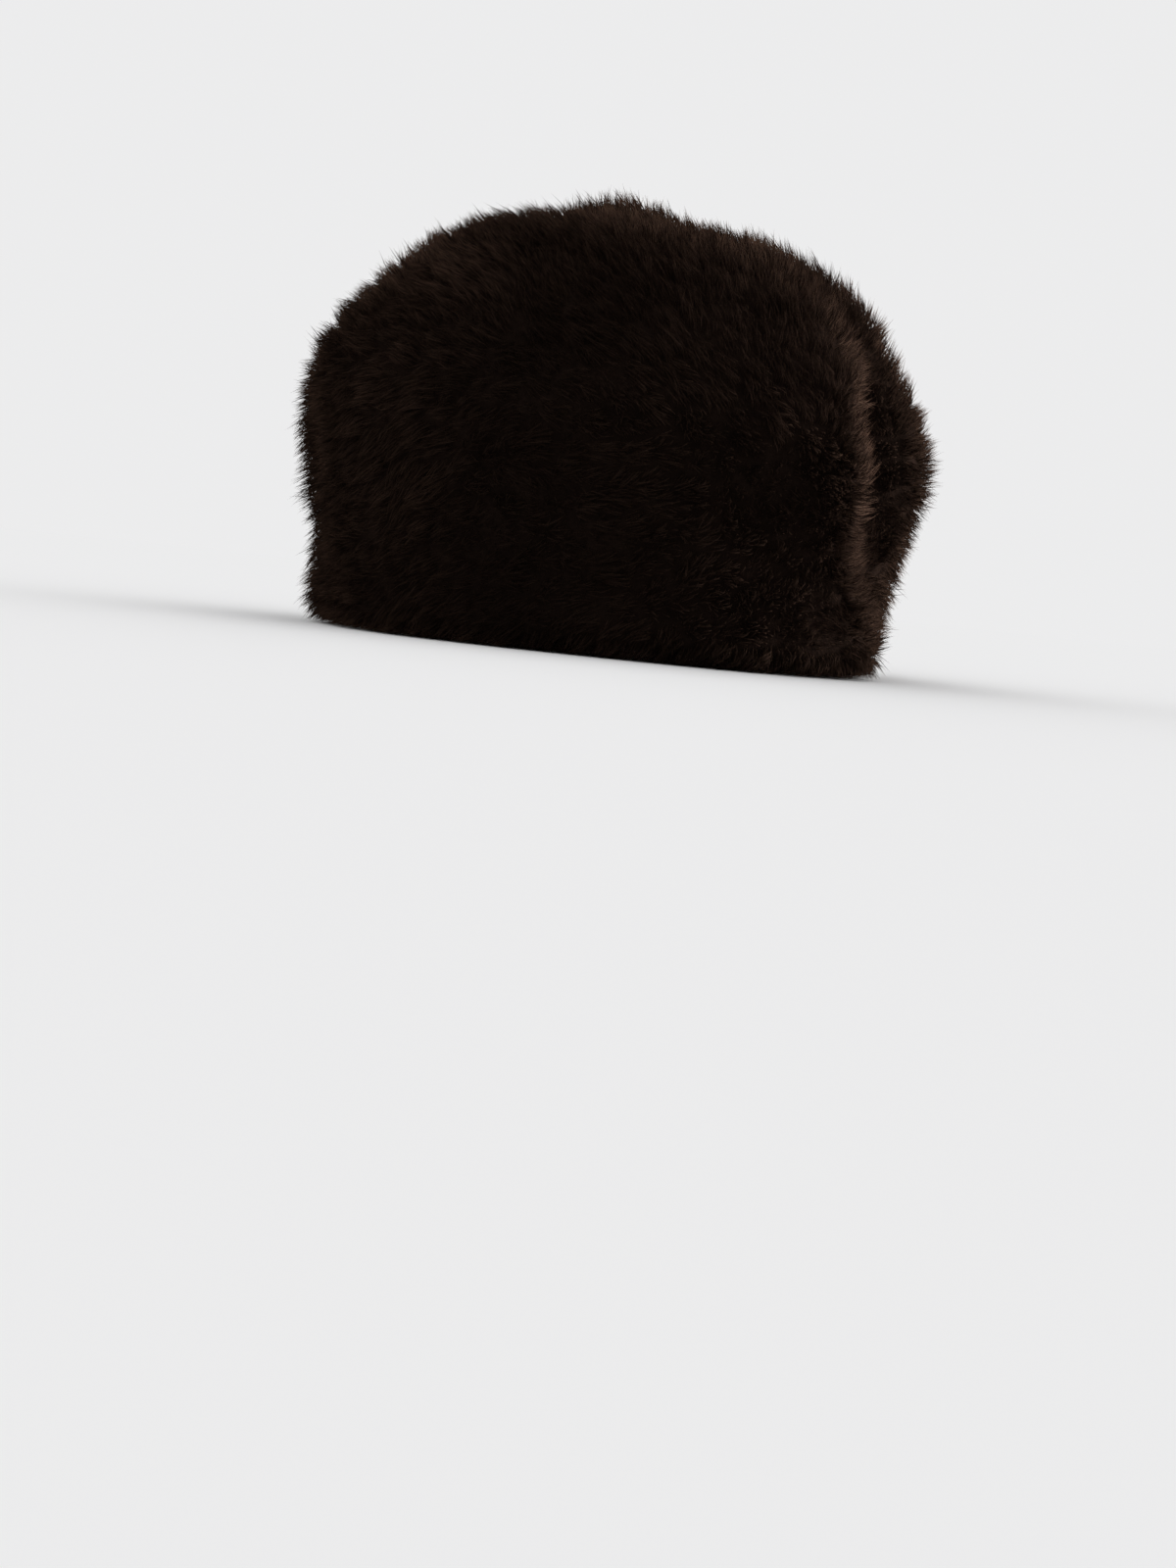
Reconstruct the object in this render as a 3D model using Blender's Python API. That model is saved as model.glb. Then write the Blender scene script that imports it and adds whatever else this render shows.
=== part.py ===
"""A tall round fur hat with a cloth lining, standing on its rim.

One profile runs from the rim over the shoulder to the crown's peak, and every layer of the wall is
an inset of it. The side band and the crown are two pieces of fur, and the locks of their pile stand
in overlapping rows whose tips point away from the peak. The side band rolls under at the rim and is
turned in as a facing, and a cloth lining follows the inside of both above it.

Metres, +Z up. The hat's front faces -Y, and the origin is on the floor at its middle.
"""

import math
import random

import bmesh
import bpy

# The outer form, measured over the fur
HAT_WIDTH = 0.302
HAT_DEPTH = 0.292
HAT_HEIGHT = 0.213
SQUARENESS = 2.3  # 2 is an ellipse, and a higher power has fuller corners

# The layers of the wall
PILE_DEPTH = 0.022
HIDE_THICKNESS = 0.003
LINING_THICKNESS = 0.0012
SEAM_GAP = 0.0003

# The rim, and the fur that is turned in at it
RIM_ROLL = 0.011
FACING_PILE = 0.009
FACING_HEIGHT = 0.022

# The locks of the pile, in rows a lock's length apart
LOCK_WIDTH = 0.028
LOCK_LENGTH = 0.024
LOCK_RELIEF = 0.005
LOCK_OVERHANG = 0.003
LOCK_SWAY = 0.003
WHORL_RADIUS = 0.060  # within this of the peak the locks lie ever flatter
LOCK_SEED = 7
THINNEST_LOCK = 0.65  # as a share of the fullest

# A lock's form along its middle and along its border: how far it rises half way and at its tip, as
# shares of LOCK_RELIEF, and how far it reaches over the next row, as a share of LOCK_OVERHANG
LOCK_MIDDLE = {"half_rise": 0.62, "tip_rise": 1.00, "reach": 1.00}
LOCK_BORDER = {"half_rise": 0.30, "tip_rise": 0.28, "reach": -0.35}

# Where the seam between side band and crown lies, as a share of the profile's length
SEAM_SHARE = 0.63

# Rows of the profile: height, as a share of HAT_HEIGHT above the rim's roll, spread, as a share of
# half the width, and lean towards -X, as a share of half the width
PROFILE_COLUMNS = ("height", "spread", "lean")
PROFILE = (
    (0.000, 0.925, 0.000),
    (0.100, 0.925, 0.004),
    (0.220, 0.948, 0.004),
    (0.340, 0.982, 0.008),
    (0.440, 1.000, 0.012),
    (0.540, 0.985, 0.026),
    (0.630, 0.930, 0.032),
    (0.710, 0.845, 0.028),
    (0.785, 0.755, 0.020),
    (0.850, 0.645, 0.020),
    (0.905, 0.510, 0.028),
    (0.955, 0.305, 0.045),
    (0.985, 0.140, 0.052),
    (1.000, 0.000, 0.055),
)

# Rows of the dents and bulges: azimuth in degrees from +X, height, as a share of HAT_HEIGHT, half
# angle in degrees, half height, as a share of HAT_HEIGHT, and depth, as a share of half the width.
# A bulge has a negative depth.
DENT_COLUMNS = ("azimuth", "height", "half_angle", "half_height", "depth")
DENTS = (
    (-31.0, 0.44, 11.0, 0.27, 0.125),  # the deep fold behind the front's right ridge
    (4.0, 0.44, 17.0, 0.20, -0.026),  # the back's bulge beside it
    (8.0, 0.10, 26.0, 0.055, 0.045),  # the waist under that bulge
    (200.0, 0.36, 9.0, 0.17, 0.040),  # the shallow fold behind the front's left ridge
    (207.0, 0.09, 10.0, 0.05, 0.035),  # the dimple over the rim at the left
    (120.0, 0.48, 20.0, 0.18, 0.025),  # a soft hollow in the back
    (-88.0, 0.50, 34.0, 0.30, 0.022),  # the front's flat middle
    (183.0, 0.72, 26.0, 0.17, 0.040),  # the left shoulder, which slopes more
)

# Sampling
SPLINE_STEPS = 12
ROLL_STEPS = 3
INSIDE_RINGS = 6
CROWN_INSIDE_RINGS = 4
POLE_SHARE = 0.03  # how near the peak the innermost ring lies, as a share of the profile

# Finishes: colour, roughness
FUR_FINISH = ((0.030, 0.017, 0.011, 1.0), 0.85)
LINING_FINISH = ((0.018, 0.016, 0.016, 1.0), 0.60)

HALF_WIDTH = HAT_WIDTH / 2
HALF_DEPTH = HAT_DEPTH / 2
WALL = PILE_DEPTH + HIDE_THICKNESS


def clear_scene():
    """Removes the objects of the scene that the script starts in."""
    for obj in list(bpy.data.objects):
        bpy.data.objects.remove(obj)


def spline_through(points, steps):
    """Points along a smooth curve through the given ones, steps to each span."""
    ends = [points[0], *points, points[-1]]
    curve = []
    for before, start, end, after in zip(ends, ends[1:], ends[2:], ends[3:]):
        for step in range(steps):
            t = step / steps
            weights = (
                (-t + 2 * t**2 - t**3) / 2,
                (2 - 5 * t**2 + 3 * t**3) / 2,
                (t + 4 * t**2 - 3 * t**3) / 2,
                (-(t**2) + t**3) / 2,
            )
            around = (before, start, end, after)
            curve.append(tuple(sum(w * p[i] for w, p in zip(weights, around)) for i in range(3)))
    curve.append(points[-1])
    return curve


class Profile:
    """The outer form's section through the hat's middle, as spread, height and lean by length."""

    def __init__(self):
        body_height = HAT_HEIGHT - RIM_ROLL
        rows = [dict(zip(PROFILE_COLUMNS, row)) for row in PROFILE]
        knots = [
            (
                row["spread"] * HALF_WIDTH,
                RIM_ROLL + row["height"] * body_height,
                row["lean"] * HALF_WIDTH,
            )
            for row in rows
        ]
        self.points = spline_through(knots, SPLINE_STEPS)
        self.reach = [0.0]
        for a, b in zip(self.points, self.points[1:]):
            self.reach.append(self.reach[-1] + math.hypot(b[0] - a[0], b[1] - a[1]))
        self.length = self.reach[-1]

    def span(self, distance):
        """The index of the span that holds a distance along the profile, and the share of it."""
        distance = min(max(distance, 0.0), self.length)
        for i in range(len(self.reach) - 1):
            if distance <= self.reach[i + 1]:
                share = (distance - self.reach[i]) / (self.reach[i + 1] - self.reach[i])
                return i, share
        return len(self.reach) - 2, 1.0

    def at(self, distance):
        """Spread, height and lean at a distance along the profile from the rim's roll."""
        i, share = self.span(distance)
        a, b = self.points[i], self.points[i + 1]
        return tuple(p + (q - p) * share for p, q in zip(a, b))

    def normal(self, distance):
        """The outward normal there, as its parts across and up. It is upright at the peak."""
        step = self.length / 60
        if distance >= self.length:
            return 0.0, 1.0
        a = self.at(distance - step)
        b = self.at(min(distance + step, self.length))
        across, up = b[1] - a[1], a[0] - b[0]
        size = math.hypot(across, up)
        return across / size, up / size


def oval(azimuth):
    """How far the hat's oval reaches at an azimuth, as a share of half the width."""
    across = abs(math.cos(azimuth)) ** SQUARENESS
    along = (abs(math.sin(azimuth)) * HALF_WIDTH / HALF_DEPTH) ** SQUARENESS
    return (across + along) ** (-1 / SQUARENESS)


def dent_depth(azimuth, height):
    """How far the folds, dents and bulges move the wall inwards at an azimuth and a height."""
    depth = 0.0
    for row in DENTS:
        dent = dict(zip(DENT_COLUMNS, row))
        turn = math.degrees(azimuth) - dent["azimuth"]
        turn = (turn + 180.0) % 360.0 - 180.0
        across = turn / dent["half_angle"]
        up = (height / HAT_HEIGHT - dent["height"]) / dent["half_height"]
        depth += dent["depth"] * HALF_WIDTH * math.exp(-(across**2) - up**2)
    return depth


def wall_point(profile, distance, azimuth, inset):
    """The point at a distance along the profile and an azimuth, inset from the outer form."""
    spread, height, lean = profile.at(distance)
    across, up = profile.normal(distance)
    radius = spread * oval(azimuth) - inset * across
    radius -= dent_depth(azimuth, height) * min(spread / HALF_WIDTH, 1.0)
    return (
        radius * math.cos(azimuth) - lean,
        radius * math.sin(azimuth),
        height - inset * up,
    )


def rim_point(profile, azimuth, back, height):
    """The point of the rim at an azimuth and a height, set back from the foot of the wall."""
    outer = wall_point(profile, 0.0, azimuth, 0.0)
    share = 1 - back / math.hypot(outer[0], outer[1])
    return outer[0] * share, outer[1] * share, height


def azimuths():
    """The columns' azimuths: two for each lock, its middle and its border."""
    around = math.pi * (HAT_WIDTH + HAT_DEPTH) / 2
    locks = 2 * round(around / LOCK_WIDTH / 2)
    return [math.tau * i / (2 * locks) for i in range(2 * locks)]


def lock_rows(top, bottom):
    """The rows between two distances along the profile, as pairs of root and length."""
    count = max(1, round((top - bottom) / LOCK_LENGTH))
    length = (top - bottom) / count
    return [(top - row * length, length) for row in range(count)]


def lock_rings(profile, columns, top, bottom, seed, first_row):
    """Rings of points over rows of locks, from the top row's roots to the bottom row's tips.

    Each row has a ring at its roots, one half way and one at its tips. The tips hang over the next
    row's roots and sway to either side, and every other row is turned by half a lock.
    """
    chance = random.Random(seed)
    rows = lock_rows(top, bottom)
    rings = []
    for index, (root, length) in enumerate(rows):
        root_ring, half_ring, tip_ring = [], [], []
        half_way, foot = root - length / 2, root - length
        spread, _, _ = profile.at(foot)
        flatness = min(1.0, spread / WHORL_RADIUS)
        relief = LOCK_RELIEF * flatness
        overhang = 0.0 if index == len(rows) - 1 else LOCK_OVERHANG * flatness
        for column, azimuth in enumerate(columns):
            form = LOCK_MIDDLE if (column + index + first_row) % 2 == 0 else LOCK_BORDER
            fullness = THINNEST_LOCK + (1 - THINNEST_LOCK) * chance.random()
            sway = LOCK_SWAY * flatness * chance.uniform(-1, 1) / HALF_WIDTH
            half_inset = LOCK_RELIEF - relief * form["half_rise"] * fullness
            tip_inset = LOCK_RELIEF - relief * form["tip_rise"] * fullness
            tip = foot - overhang * form["reach"] * fullness
            root_ring.append(wall_point(profile, root, azimuth, LOCK_RELIEF))
            half_ring.append(wall_point(profile, half_way, azimuth, half_inset))
            tip_ring.append(wall_point(profile, tip, azimuth + sway, tip_inset))
        rings += [root_ring, half_ring, tip_ring]
    return rings


def inset_rings(profile, columns, inset, distances):
    """Rings at one inset from the outer form, one at each distance along the profile."""
    return [[wall_point(profile, d, azimuth, inset) for azimuth in columns] for d in distances]


def even_steps(start, end, count):
    """count distances from start to end, both included."""
    return [start + (end - start) * i / (count - 1) for i in range(count)]


def facing_top(profile):
    """The distance along the profile at which the wall's inside is as high as the facing."""
    low, high = 0.0, profile.length / 2
    for _ in range(40):
        middle = (low + high) / 2
        _, up = profile.normal(middle)
        if profile.at(middle)[1] - WALL * up < FACING_HEIGHT:
            low = middle
        else:
            high = middle
    return high


def rim_rings(profile, columns):
    """Rings round the rim: the rolled edge, the flat that rests, and the facing turned in."""
    rings = []
    for step in range(1, ROLL_STEPS + 1):
        angle = math.pi / 2 * step / ROLL_STEPS
        back = RIM_ROLL * (1 - math.cos(angle)) + LOCK_RELIEF * math.cos(angle)
        height = RIM_ROLL * (1 - math.sin(angle))
        rings.append([rim_point(profile, azimuth, back, height) for azimuth in columns])
    facing_inset = WALL + FACING_PILE
    for step in range(ROLL_STEPS + 1):
        angle = math.pi / 2 * step / ROLL_STEPS
        back = facing_inset - FACING_PILE * (1 - math.sin(angle))
        height = FACING_PILE * (1 - math.cos(angle))
        rings.append([rim_point(profile, azimuth, back, height) for azimuth in columns])
    return rings


def band_rings(profile, columns):
    """The side band's section as rings, round its whole wall and back to the start."""
    seam = profile.length * SEAM_SHARE - SEAM_GAP / 2
    shelf = facing_top(profile)
    outside = lock_rings(profile, columns, seam, 0.0, LOCK_SEED, 0)
    ledge = [
        [wall_point(profile, shelf, azimuth, inset) for azimuth in columns]
        for inset in (WALL + FACING_PILE, WALL)
    ]
    inside = inset_rings(profile, columns, WALL, even_steps(shelf, seam, INSIDE_RINGS)[1:])
    return outside + rim_rings(profile, columns) + ledge + inside


def crown_rings(profile, columns):
    """The crown's section as two lists of rings: outside from the peak, and inside to the peak."""
    seam = profile.length * SEAM_SHARE + SEAM_GAP / 2
    near_peak = profile.length * (1 - POLE_SHARE)
    outside = lock_rings(profile, columns, near_peak, seam, LOCK_SEED + 1, 1)
    inside = inset_rings(
        profile, columns, WALL, even_steps(seam, near_peak, CROWN_INSIDE_RINGS)
    )
    return outside + inside


def lining_rings(profile, columns):
    """The lining's section as rings: its inside down from the peak, then its outside up again.

    Its outside rises as the insides of the fur do, so that the facets of all three match.
    """
    shelf = facing_top(profile) + SEAM_GAP
    seam = profile.length * SEAM_SHARE
    near_peak = profile.length * (1 - POLE_SHARE)
    heights = even_steps(shelf, seam, INSIDE_RINGS)
    heights += even_steps(seam, near_peak, CROWN_INSIDE_RINGS)[1:]
    outer = WALL + SEAM_GAP
    outside = inset_rings(profile, columns, outer, heights)
    inside = inset_rings(profile, columns, outer + LINING_THICKNESS, heights)
    return inside[::-1] + outside


def mesh_of(name, ring_lists, closed, peaks=()):
    """A mesh of quads between neighbouring rings.

    ring_lists holds lists of rings. With closed set, the last ring of a list joins its first. Each
    of peaks is a pair: the index of a ring among all of them, and the point that its fan closes at.
    """
    bm = bmesh.new()
    made = []
    for rings in ring_lists:
        verts = [[bm.verts.new(point) for point in ring] for ring in rings]
        pairs = list(zip(verts, verts[1:]))
        if closed:
            pairs.append((verts[-1], verts[0]))
        for a, b in pairs:
            for i in range(len(a)):
                j = (i + 1) % len(a)
                bm.faces.new((a[i], a[j], b[j], b[i]))
        made += verts
    for index, point in peaks:
        peak = bm.verts.new(point)
        ring = made[index]
        for i in range(len(ring)):
            bm.faces.new((ring[i], ring[(i + 1) % len(ring)], peak))
    bmesh.ops.recalc_face_normals(bm, faces=bm.faces)
    mesh = bpy.data.meshes.new(name)
    bm.to_mesh(mesh)
    bm.free()
    return mesh


def finish(name, colour, roughness):
    """A Principled BSDF material of one colour."""
    material = bpy.data.materials.new(name)
    material.use_nodes = True
    shader = material.node_tree.nodes["Principled BSDF"]
    shader.inputs["Base Color"].default_value = colour
    shader.inputs["Roughness"].default_value = roughness
    shader.inputs["Metallic"].default_value = 0.0
    material.diffuse_color = colour
    return material


def add_piece(name, mesh, material, parent):
    """Links a piece into the scene under the hat's empty."""
    mesh.materials.append(material)
    mesh.shade_smooth()
    mesh.set_sharp_from_angle(angle=math.radians(50))
    piece = bpy.data.objects.new(name, mesh)
    bpy.context.scene.collection.objects.link(piece)
    piece.parent = parent
    return piece


def main():
    """Builds the hat."""
    clear_scene()
    hat = bpy.data.objects.new("hat", None)
    bpy.context.scene.collection.objects.link(hat)
    profile = Profile()
    columns = azimuths()
    fur = finish("fur", *FUR_FINISH)
    cloth = finish("lining_cloth", *LINING_FINISH)

    band = mesh_of("side_band", [band_rings(profile, columns)], closed=True)
    add_piece("side_band", band, fur, hat)

    rings = crown_rings(profile, columns)
    top = wall_point(profile, profile.length, 0.0, 0.0)
    under = wall_point(profile, profile.length, 0.0, WALL)
    crown = mesh_of("crown", [rings], closed=False, peaks=((0, top), (len(rings) - 1, under)))
    add_piece("crown", crown, fur, hat)

    rings = lining_rings(profile, columns)
    top = wall_point(profile, profile.length, 0.0, WALL + SEAM_GAP)
    under = wall_point(profile, profile.length, 0.0, WALL + SEAM_GAP + LINING_THICKNESS)
    lining = mesh_of("lining", [rings], closed=False, peaks=((0, under), (len(rings) - 1, top)))
    add_piece("lining", lining, cloth, hat)


main()
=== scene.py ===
"""The looks of a tall round fur hat that stands on its rim on a pale floor.

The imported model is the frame. Its two pieces of fur are replaced by a soft underfur on the same
form, and hairs in tufts grow out of that. Its lining is replaced by a woven cloth of the same form.
Everything is in metres, +Z up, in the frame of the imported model.
"""

import logging
import math
from dataclasses import dataclass
from enum import Enum

import bpy
import numpy as np
from mathutils import Matrix, Vector, noise
from mathutils.bvhtree import BVHTree
from mathutils.kdtree import KDTree


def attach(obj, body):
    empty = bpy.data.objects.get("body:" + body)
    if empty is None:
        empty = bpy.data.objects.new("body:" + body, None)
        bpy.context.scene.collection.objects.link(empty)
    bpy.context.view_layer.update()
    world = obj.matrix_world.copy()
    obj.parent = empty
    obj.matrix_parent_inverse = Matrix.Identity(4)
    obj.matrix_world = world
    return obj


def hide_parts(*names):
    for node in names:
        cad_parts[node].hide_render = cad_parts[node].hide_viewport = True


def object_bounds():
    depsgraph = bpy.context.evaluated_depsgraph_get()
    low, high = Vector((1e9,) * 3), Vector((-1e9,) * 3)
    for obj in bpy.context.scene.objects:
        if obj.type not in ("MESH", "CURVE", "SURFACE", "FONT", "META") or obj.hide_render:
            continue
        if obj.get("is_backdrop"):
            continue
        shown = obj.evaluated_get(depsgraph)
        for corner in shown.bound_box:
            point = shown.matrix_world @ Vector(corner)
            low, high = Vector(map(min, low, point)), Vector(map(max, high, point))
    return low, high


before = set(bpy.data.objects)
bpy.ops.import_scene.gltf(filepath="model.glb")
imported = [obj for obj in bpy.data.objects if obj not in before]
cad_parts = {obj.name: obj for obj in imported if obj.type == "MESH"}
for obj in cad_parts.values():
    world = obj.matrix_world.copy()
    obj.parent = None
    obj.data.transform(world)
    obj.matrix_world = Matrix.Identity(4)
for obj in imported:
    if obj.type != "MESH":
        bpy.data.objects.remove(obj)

LOG = logging.getLogger("fur_hat")
BODY = "root"
BAKE_MAP = "OFBake"
CLOTH_MAP = "cloth"
WAVE_SCALE = math.tau / 20.0  # a wave texture of this scale has one band to the metre
TINY = 1e-12  # no vector is divided by less
MERGE_WITHIN = 0.00002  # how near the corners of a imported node's triangles lie to be one point
SMOOTHING_STEP = 0.5  # how far each smoothing pass moves a point towards its neighbours
FLOOR_CLEARANCE = 0.0005  # how far above the floor the lowest points stand
FACING_TOP = 0.0235  # the fur turned in at the rim reaches up to this level
CROWN_LEVEL = 0.15  # above this level, what faces up is fur
LEAST_OUTWARD = 0.05  # how far a wall's normal faces outwards at the least where it is furred

Colour = tuple[float, float, float, float]
Stop = tuple[float, Colour]  # a place on a colour ramp, and the colour there


class Region(Enum):
    """The stretches of fur that are piles of their own."""

    FRONT = "band_front"
    BACK = "band_back"
    CROWN = "crown"
    RIM = "rim"


def deselect_all() -> None:
    """Leaves nothing selected, so that an operator acts on its own new mesh alone."""
    for other in bpy.context.selected_objects:
        other.select_set(False)
    bpy.context.view_layer.objects.active = None


def select_only(piece: bpy.types.Object) -> None:
    """Makes one object the active and only selected one.

    Args:
        piece: The object to select.
    """
    deselect_all()
    piece.select_set(True)
    bpy.context.view_layer.objects.active = piece


def apply_modifier(piece: bpy.types.Object, kind: str, **settings: object) -> None:
    """Adds a modifier to a piece and applies it.

    Args:
        piece: The object that gets it.
        kind: The modifier's type.
        **settings: Its settings by name.
    """
    modifier = piece.modifiers.new(kind.lower(), kind)
    for name, value in settings.items():
        setattr(modifier, name, value)
    select_only(piece)
    bpy.ops.object.modifier_apply(modifier=modifier.name)


def copy_of_node(node: str, name: str) -> bpy.types.Object:
    """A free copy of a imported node's mesh, with its loose triangles merged.

    Args:
        node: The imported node's name.
        name: The copy's name.

    Returns:
        The new object, at the origin.
    """
    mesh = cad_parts[node].data.copy()
    mesh.name = name
    mesh.materials.clear()
    piece = bpy.data.objects.new(name, mesh)
    bpy.context.scene.collection.objects.link(piece)
    select_only(piece)
    bpy.ops.object.mode_set(mode="EDIT")
    bpy.ops.mesh.select_all(action="SELECT")
    bpy.ops.mesh.remove_doubles(threshold=MERGE_WITHIN)
    bpy.ops.mesh.tris_convert_to_quads()
    bpy.ops.object.mode_set(mode="OBJECT")
    return piece


def clouds(name: str, size: float, depth: int) -> bpy.types.Texture:
    """A procedural cloud texture for a Displace modifier.

    Args:
        name: The texture's name.
        size: The size of its clouds in metres.
        depth: How many finer layers it has.

    Returns:
        The texture.
    """
    texture = bpy.data.textures.new(name, "CLOUDS")
    texture.noise_scale = size
    texture.noise_depth = depth
    return texture


def unit(vectors: np.ndarray) -> np.ndarray:
    """Rows of vectors, each scaled to a length of one."""
    return vectors / np.maximum(np.linalg.norm(vectors, axis=1, keepdims=True), TINY)


def triangle_count(piece: bpy.types.Object) -> int:
    """How many triangles a piece's mesh has."""
    piece.data.calc_loop_triangles()
    return len(piece.data.loop_triangles)


def points_of(piece: bpy.types.Object) -> tuple[np.ndarray, np.ndarray]:
    """Reads a piece's vertices.

    Args:
        piece: The piece.

    Returns:
        Their places and their normals, in rows.
    """
    mesh = piece.data
    places = np.empty(len(mesh.vertices) * 3, np.float32)
    mesh.vertices.foreach_get("co", places)
    normals = np.empty(len(mesh.vertices) * 3, np.float32)
    mesh.vertex_normals.foreach_get("vector", normals)
    return places.reshape(-1, 3).astype(float), normals.reshape(-1, 3).astype(float)


def move_points(piece: bpy.types.Object, places: np.ndarray) -> None:
    """Moves a piece's vertices to these places."""
    piece.data.vertices.foreach_set("co", places.astype(np.float32).ravel())
    piece.data.update()


def raise_to_floor(piece: bpy.types.Object) -> None:
    """Lifts what lies below the floor onto it.

    Args:
        piece: The piece.
    """
    places, _ = points_of(piece)
    places[:, 2] = np.maximum(places[:, 2], FLOOR_CLEARANCE)
    move_points(piece, places)


def furred(places: np.ndarray, normals: np.ndarray) -> np.ndarray:
    """Which places lie on the furred outside of the hat, and not on a hidden inner wall.

    Args:
        places: Rows of points on it.
        normals: Their outward normals.

    Returns:
        A mask.
    """
    outward = (unit(places * (1, 1, 0)) * normals).sum(axis=1)
    top = (places[:, 2] > CROWN_LEVEL) & (normals[:, 2] > 0.0)
    return top | (outward > LEAST_OUTWARD) | (places[:, 2] < FACING_TOP)


@dataclass(frozen=True)
class Grain:
    """A noise over the object's own coordinates.

    Its scale is how many patches a metre holds, its detail how many finer layers it has, and
    rough how strong each finer layer is.
    """

    scale: float
    detail: float
    rough: float = 0.5


class Shading:
    """A material's node tree, written a node at a time."""

    def __init__(self, name: str) -> None:
        """Starts a material that holds only its Principled BSDF.

        Args:
            name: The material's name.
        """
        self.material = bpy.data.materials.new(name)
        self.material.use_nodes = True
        self.tree = self.material.node_tree
        self.shader = self.tree.nodes["Principled BSDF"]
        self.coordinates = self.tree.nodes.new("ShaderNodeTexCoord").outputs["Object"]

    def link(self, source: bpy.types.NodeSocket, target: bpy.types.NodeSocket) -> None:
        """Joins an output to an input."""
        self.tree.links.new(source, target)

    def attribute(self, name: str) -> bpy.types.NodeSocket:
        """A number that the mesh holds at its points.

        Args:
            name: The attribute's name.

        Returns:
            The node's output.
        """
        node = self.tree.nodes.new("ShaderNodeAttribute")
        node.attribute_name = name
        return node.outputs["Fac"]

    def noise(self, grain: Grain) -> bpy.types.NodeSocket:
        """Noise over the object's own coordinates.

        Args:
            grain: The noise's scale and its finer layers.

        Returns:
            The noise's value.
        """
        node = self.tree.nodes.new("ShaderNodeTexNoise")
        node.inputs["Scale"].default_value = grain.scale
        node.inputs["Detail"].default_value = grain.detail
        node.inputs["Roughness"].default_value = grain.rough
        self.link(self.coordinates, node.inputs["Vector"])
        return node.outputs["Fac"]

    def waves(self, count: float, turn: float) -> bpy.types.NodeSocket:
        """Smooth parallel bands over the piece's own flat map.

        Args:
            count: How many bands a metre of cloth holds.
            turn: The angle of the bands in radians.

        Returns:
            The bands' value from 0 to 1.
        """
        place = self.tree.nodes.new("ShaderNodeUVMap")
        place.uv_map = CLOTH_MAP
        mapping = self.tree.nodes.new("ShaderNodeMapping")
        mapping.inputs["Rotation"].default_value = (0.0, 0.0, turn)
        self.link(place.outputs["UV"], mapping.inputs["Vector"])
        node = self.tree.nodes.new("ShaderNodeTexWave")
        node.inputs["Scale"].default_value = count * WAVE_SCALE
        self.link(mapping.outputs["Vector"], node.inputs["Vector"])
        return node.outputs["Fac"]

    def ramp(self, value: bpy.types.NodeSocket, *stops: Stop) -> bpy.types.NodeSocket:
        """A colour ramp over a value.

        Args:
            value: The output that drives it.
            *stops: Its places and their colours.

        Returns:
            The ramp's colour.
        """
        node = self.tree.nodes.new("ShaderNodeValToRGB")
        elements = node.color_ramp.elements
        while len(elements) < len(stops):
            elements.new(0.5)
        for element, (place, colour) in zip(elements, stops):
            element.position = place
            element.color = colour
        self.link(value, node.inputs["Fac"])
        return node.outputs["Color"]

    def multiplied(
        self, first: bpy.types.NodeSocket, second: bpy.types.NodeSocket
    ) -> bpy.types.NodeSocket:
        """The product of two colours.

        Args:
            first: The output that gives one of them.
            second: The output that gives the other.

        Returns:
            The product's output.
        """
        node = self.tree.nodes.new("ShaderNodeMix")
        node.data_type = "RGBA"
        node.blend_type = "MULTIPLY"
        node.inputs["Factor"].default_value = 1.0
        self.link(first, node.inputs["A"])
        self.link(second, node.inputs["B"])
        return node.outputs["Result"]

    def bump(self, height: bpy.types.NodeSocket, strength: float, distance: float) -> None:
        """Gives the shader a bump.

        Args:
            height: The output that gives the height.
            strength: From 0 to 1.
            distance: The height of a full step in metres.
        """
        node = self.tree.nodes.new("ShaderNodeBump")
        node.inputs["Strength"].default_value = strength
        node.inputs["Distance"].default_value = distance
        self.link(height, node.inputs["Height"])
        self.link(node.outputs["Normal"], self.shader.inputs["Normal"])

    def finish(self, colour: bpy.types.NodeSocket, rough: float, gloss: float) -> None:
        """Gives the shader its colour, its roughness and its gloss.

        Args:
            colour: The output that gives the colour.
            rough: The roughness.
            gloss: The specular level.
        """
        self.link(colour, self.shader.inputs["Base Color"])
        self.shader.inputs["Roughness"].default_value = rough
        self.shader.inputs["Specular IOR Level"].default_value = gloss


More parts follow.
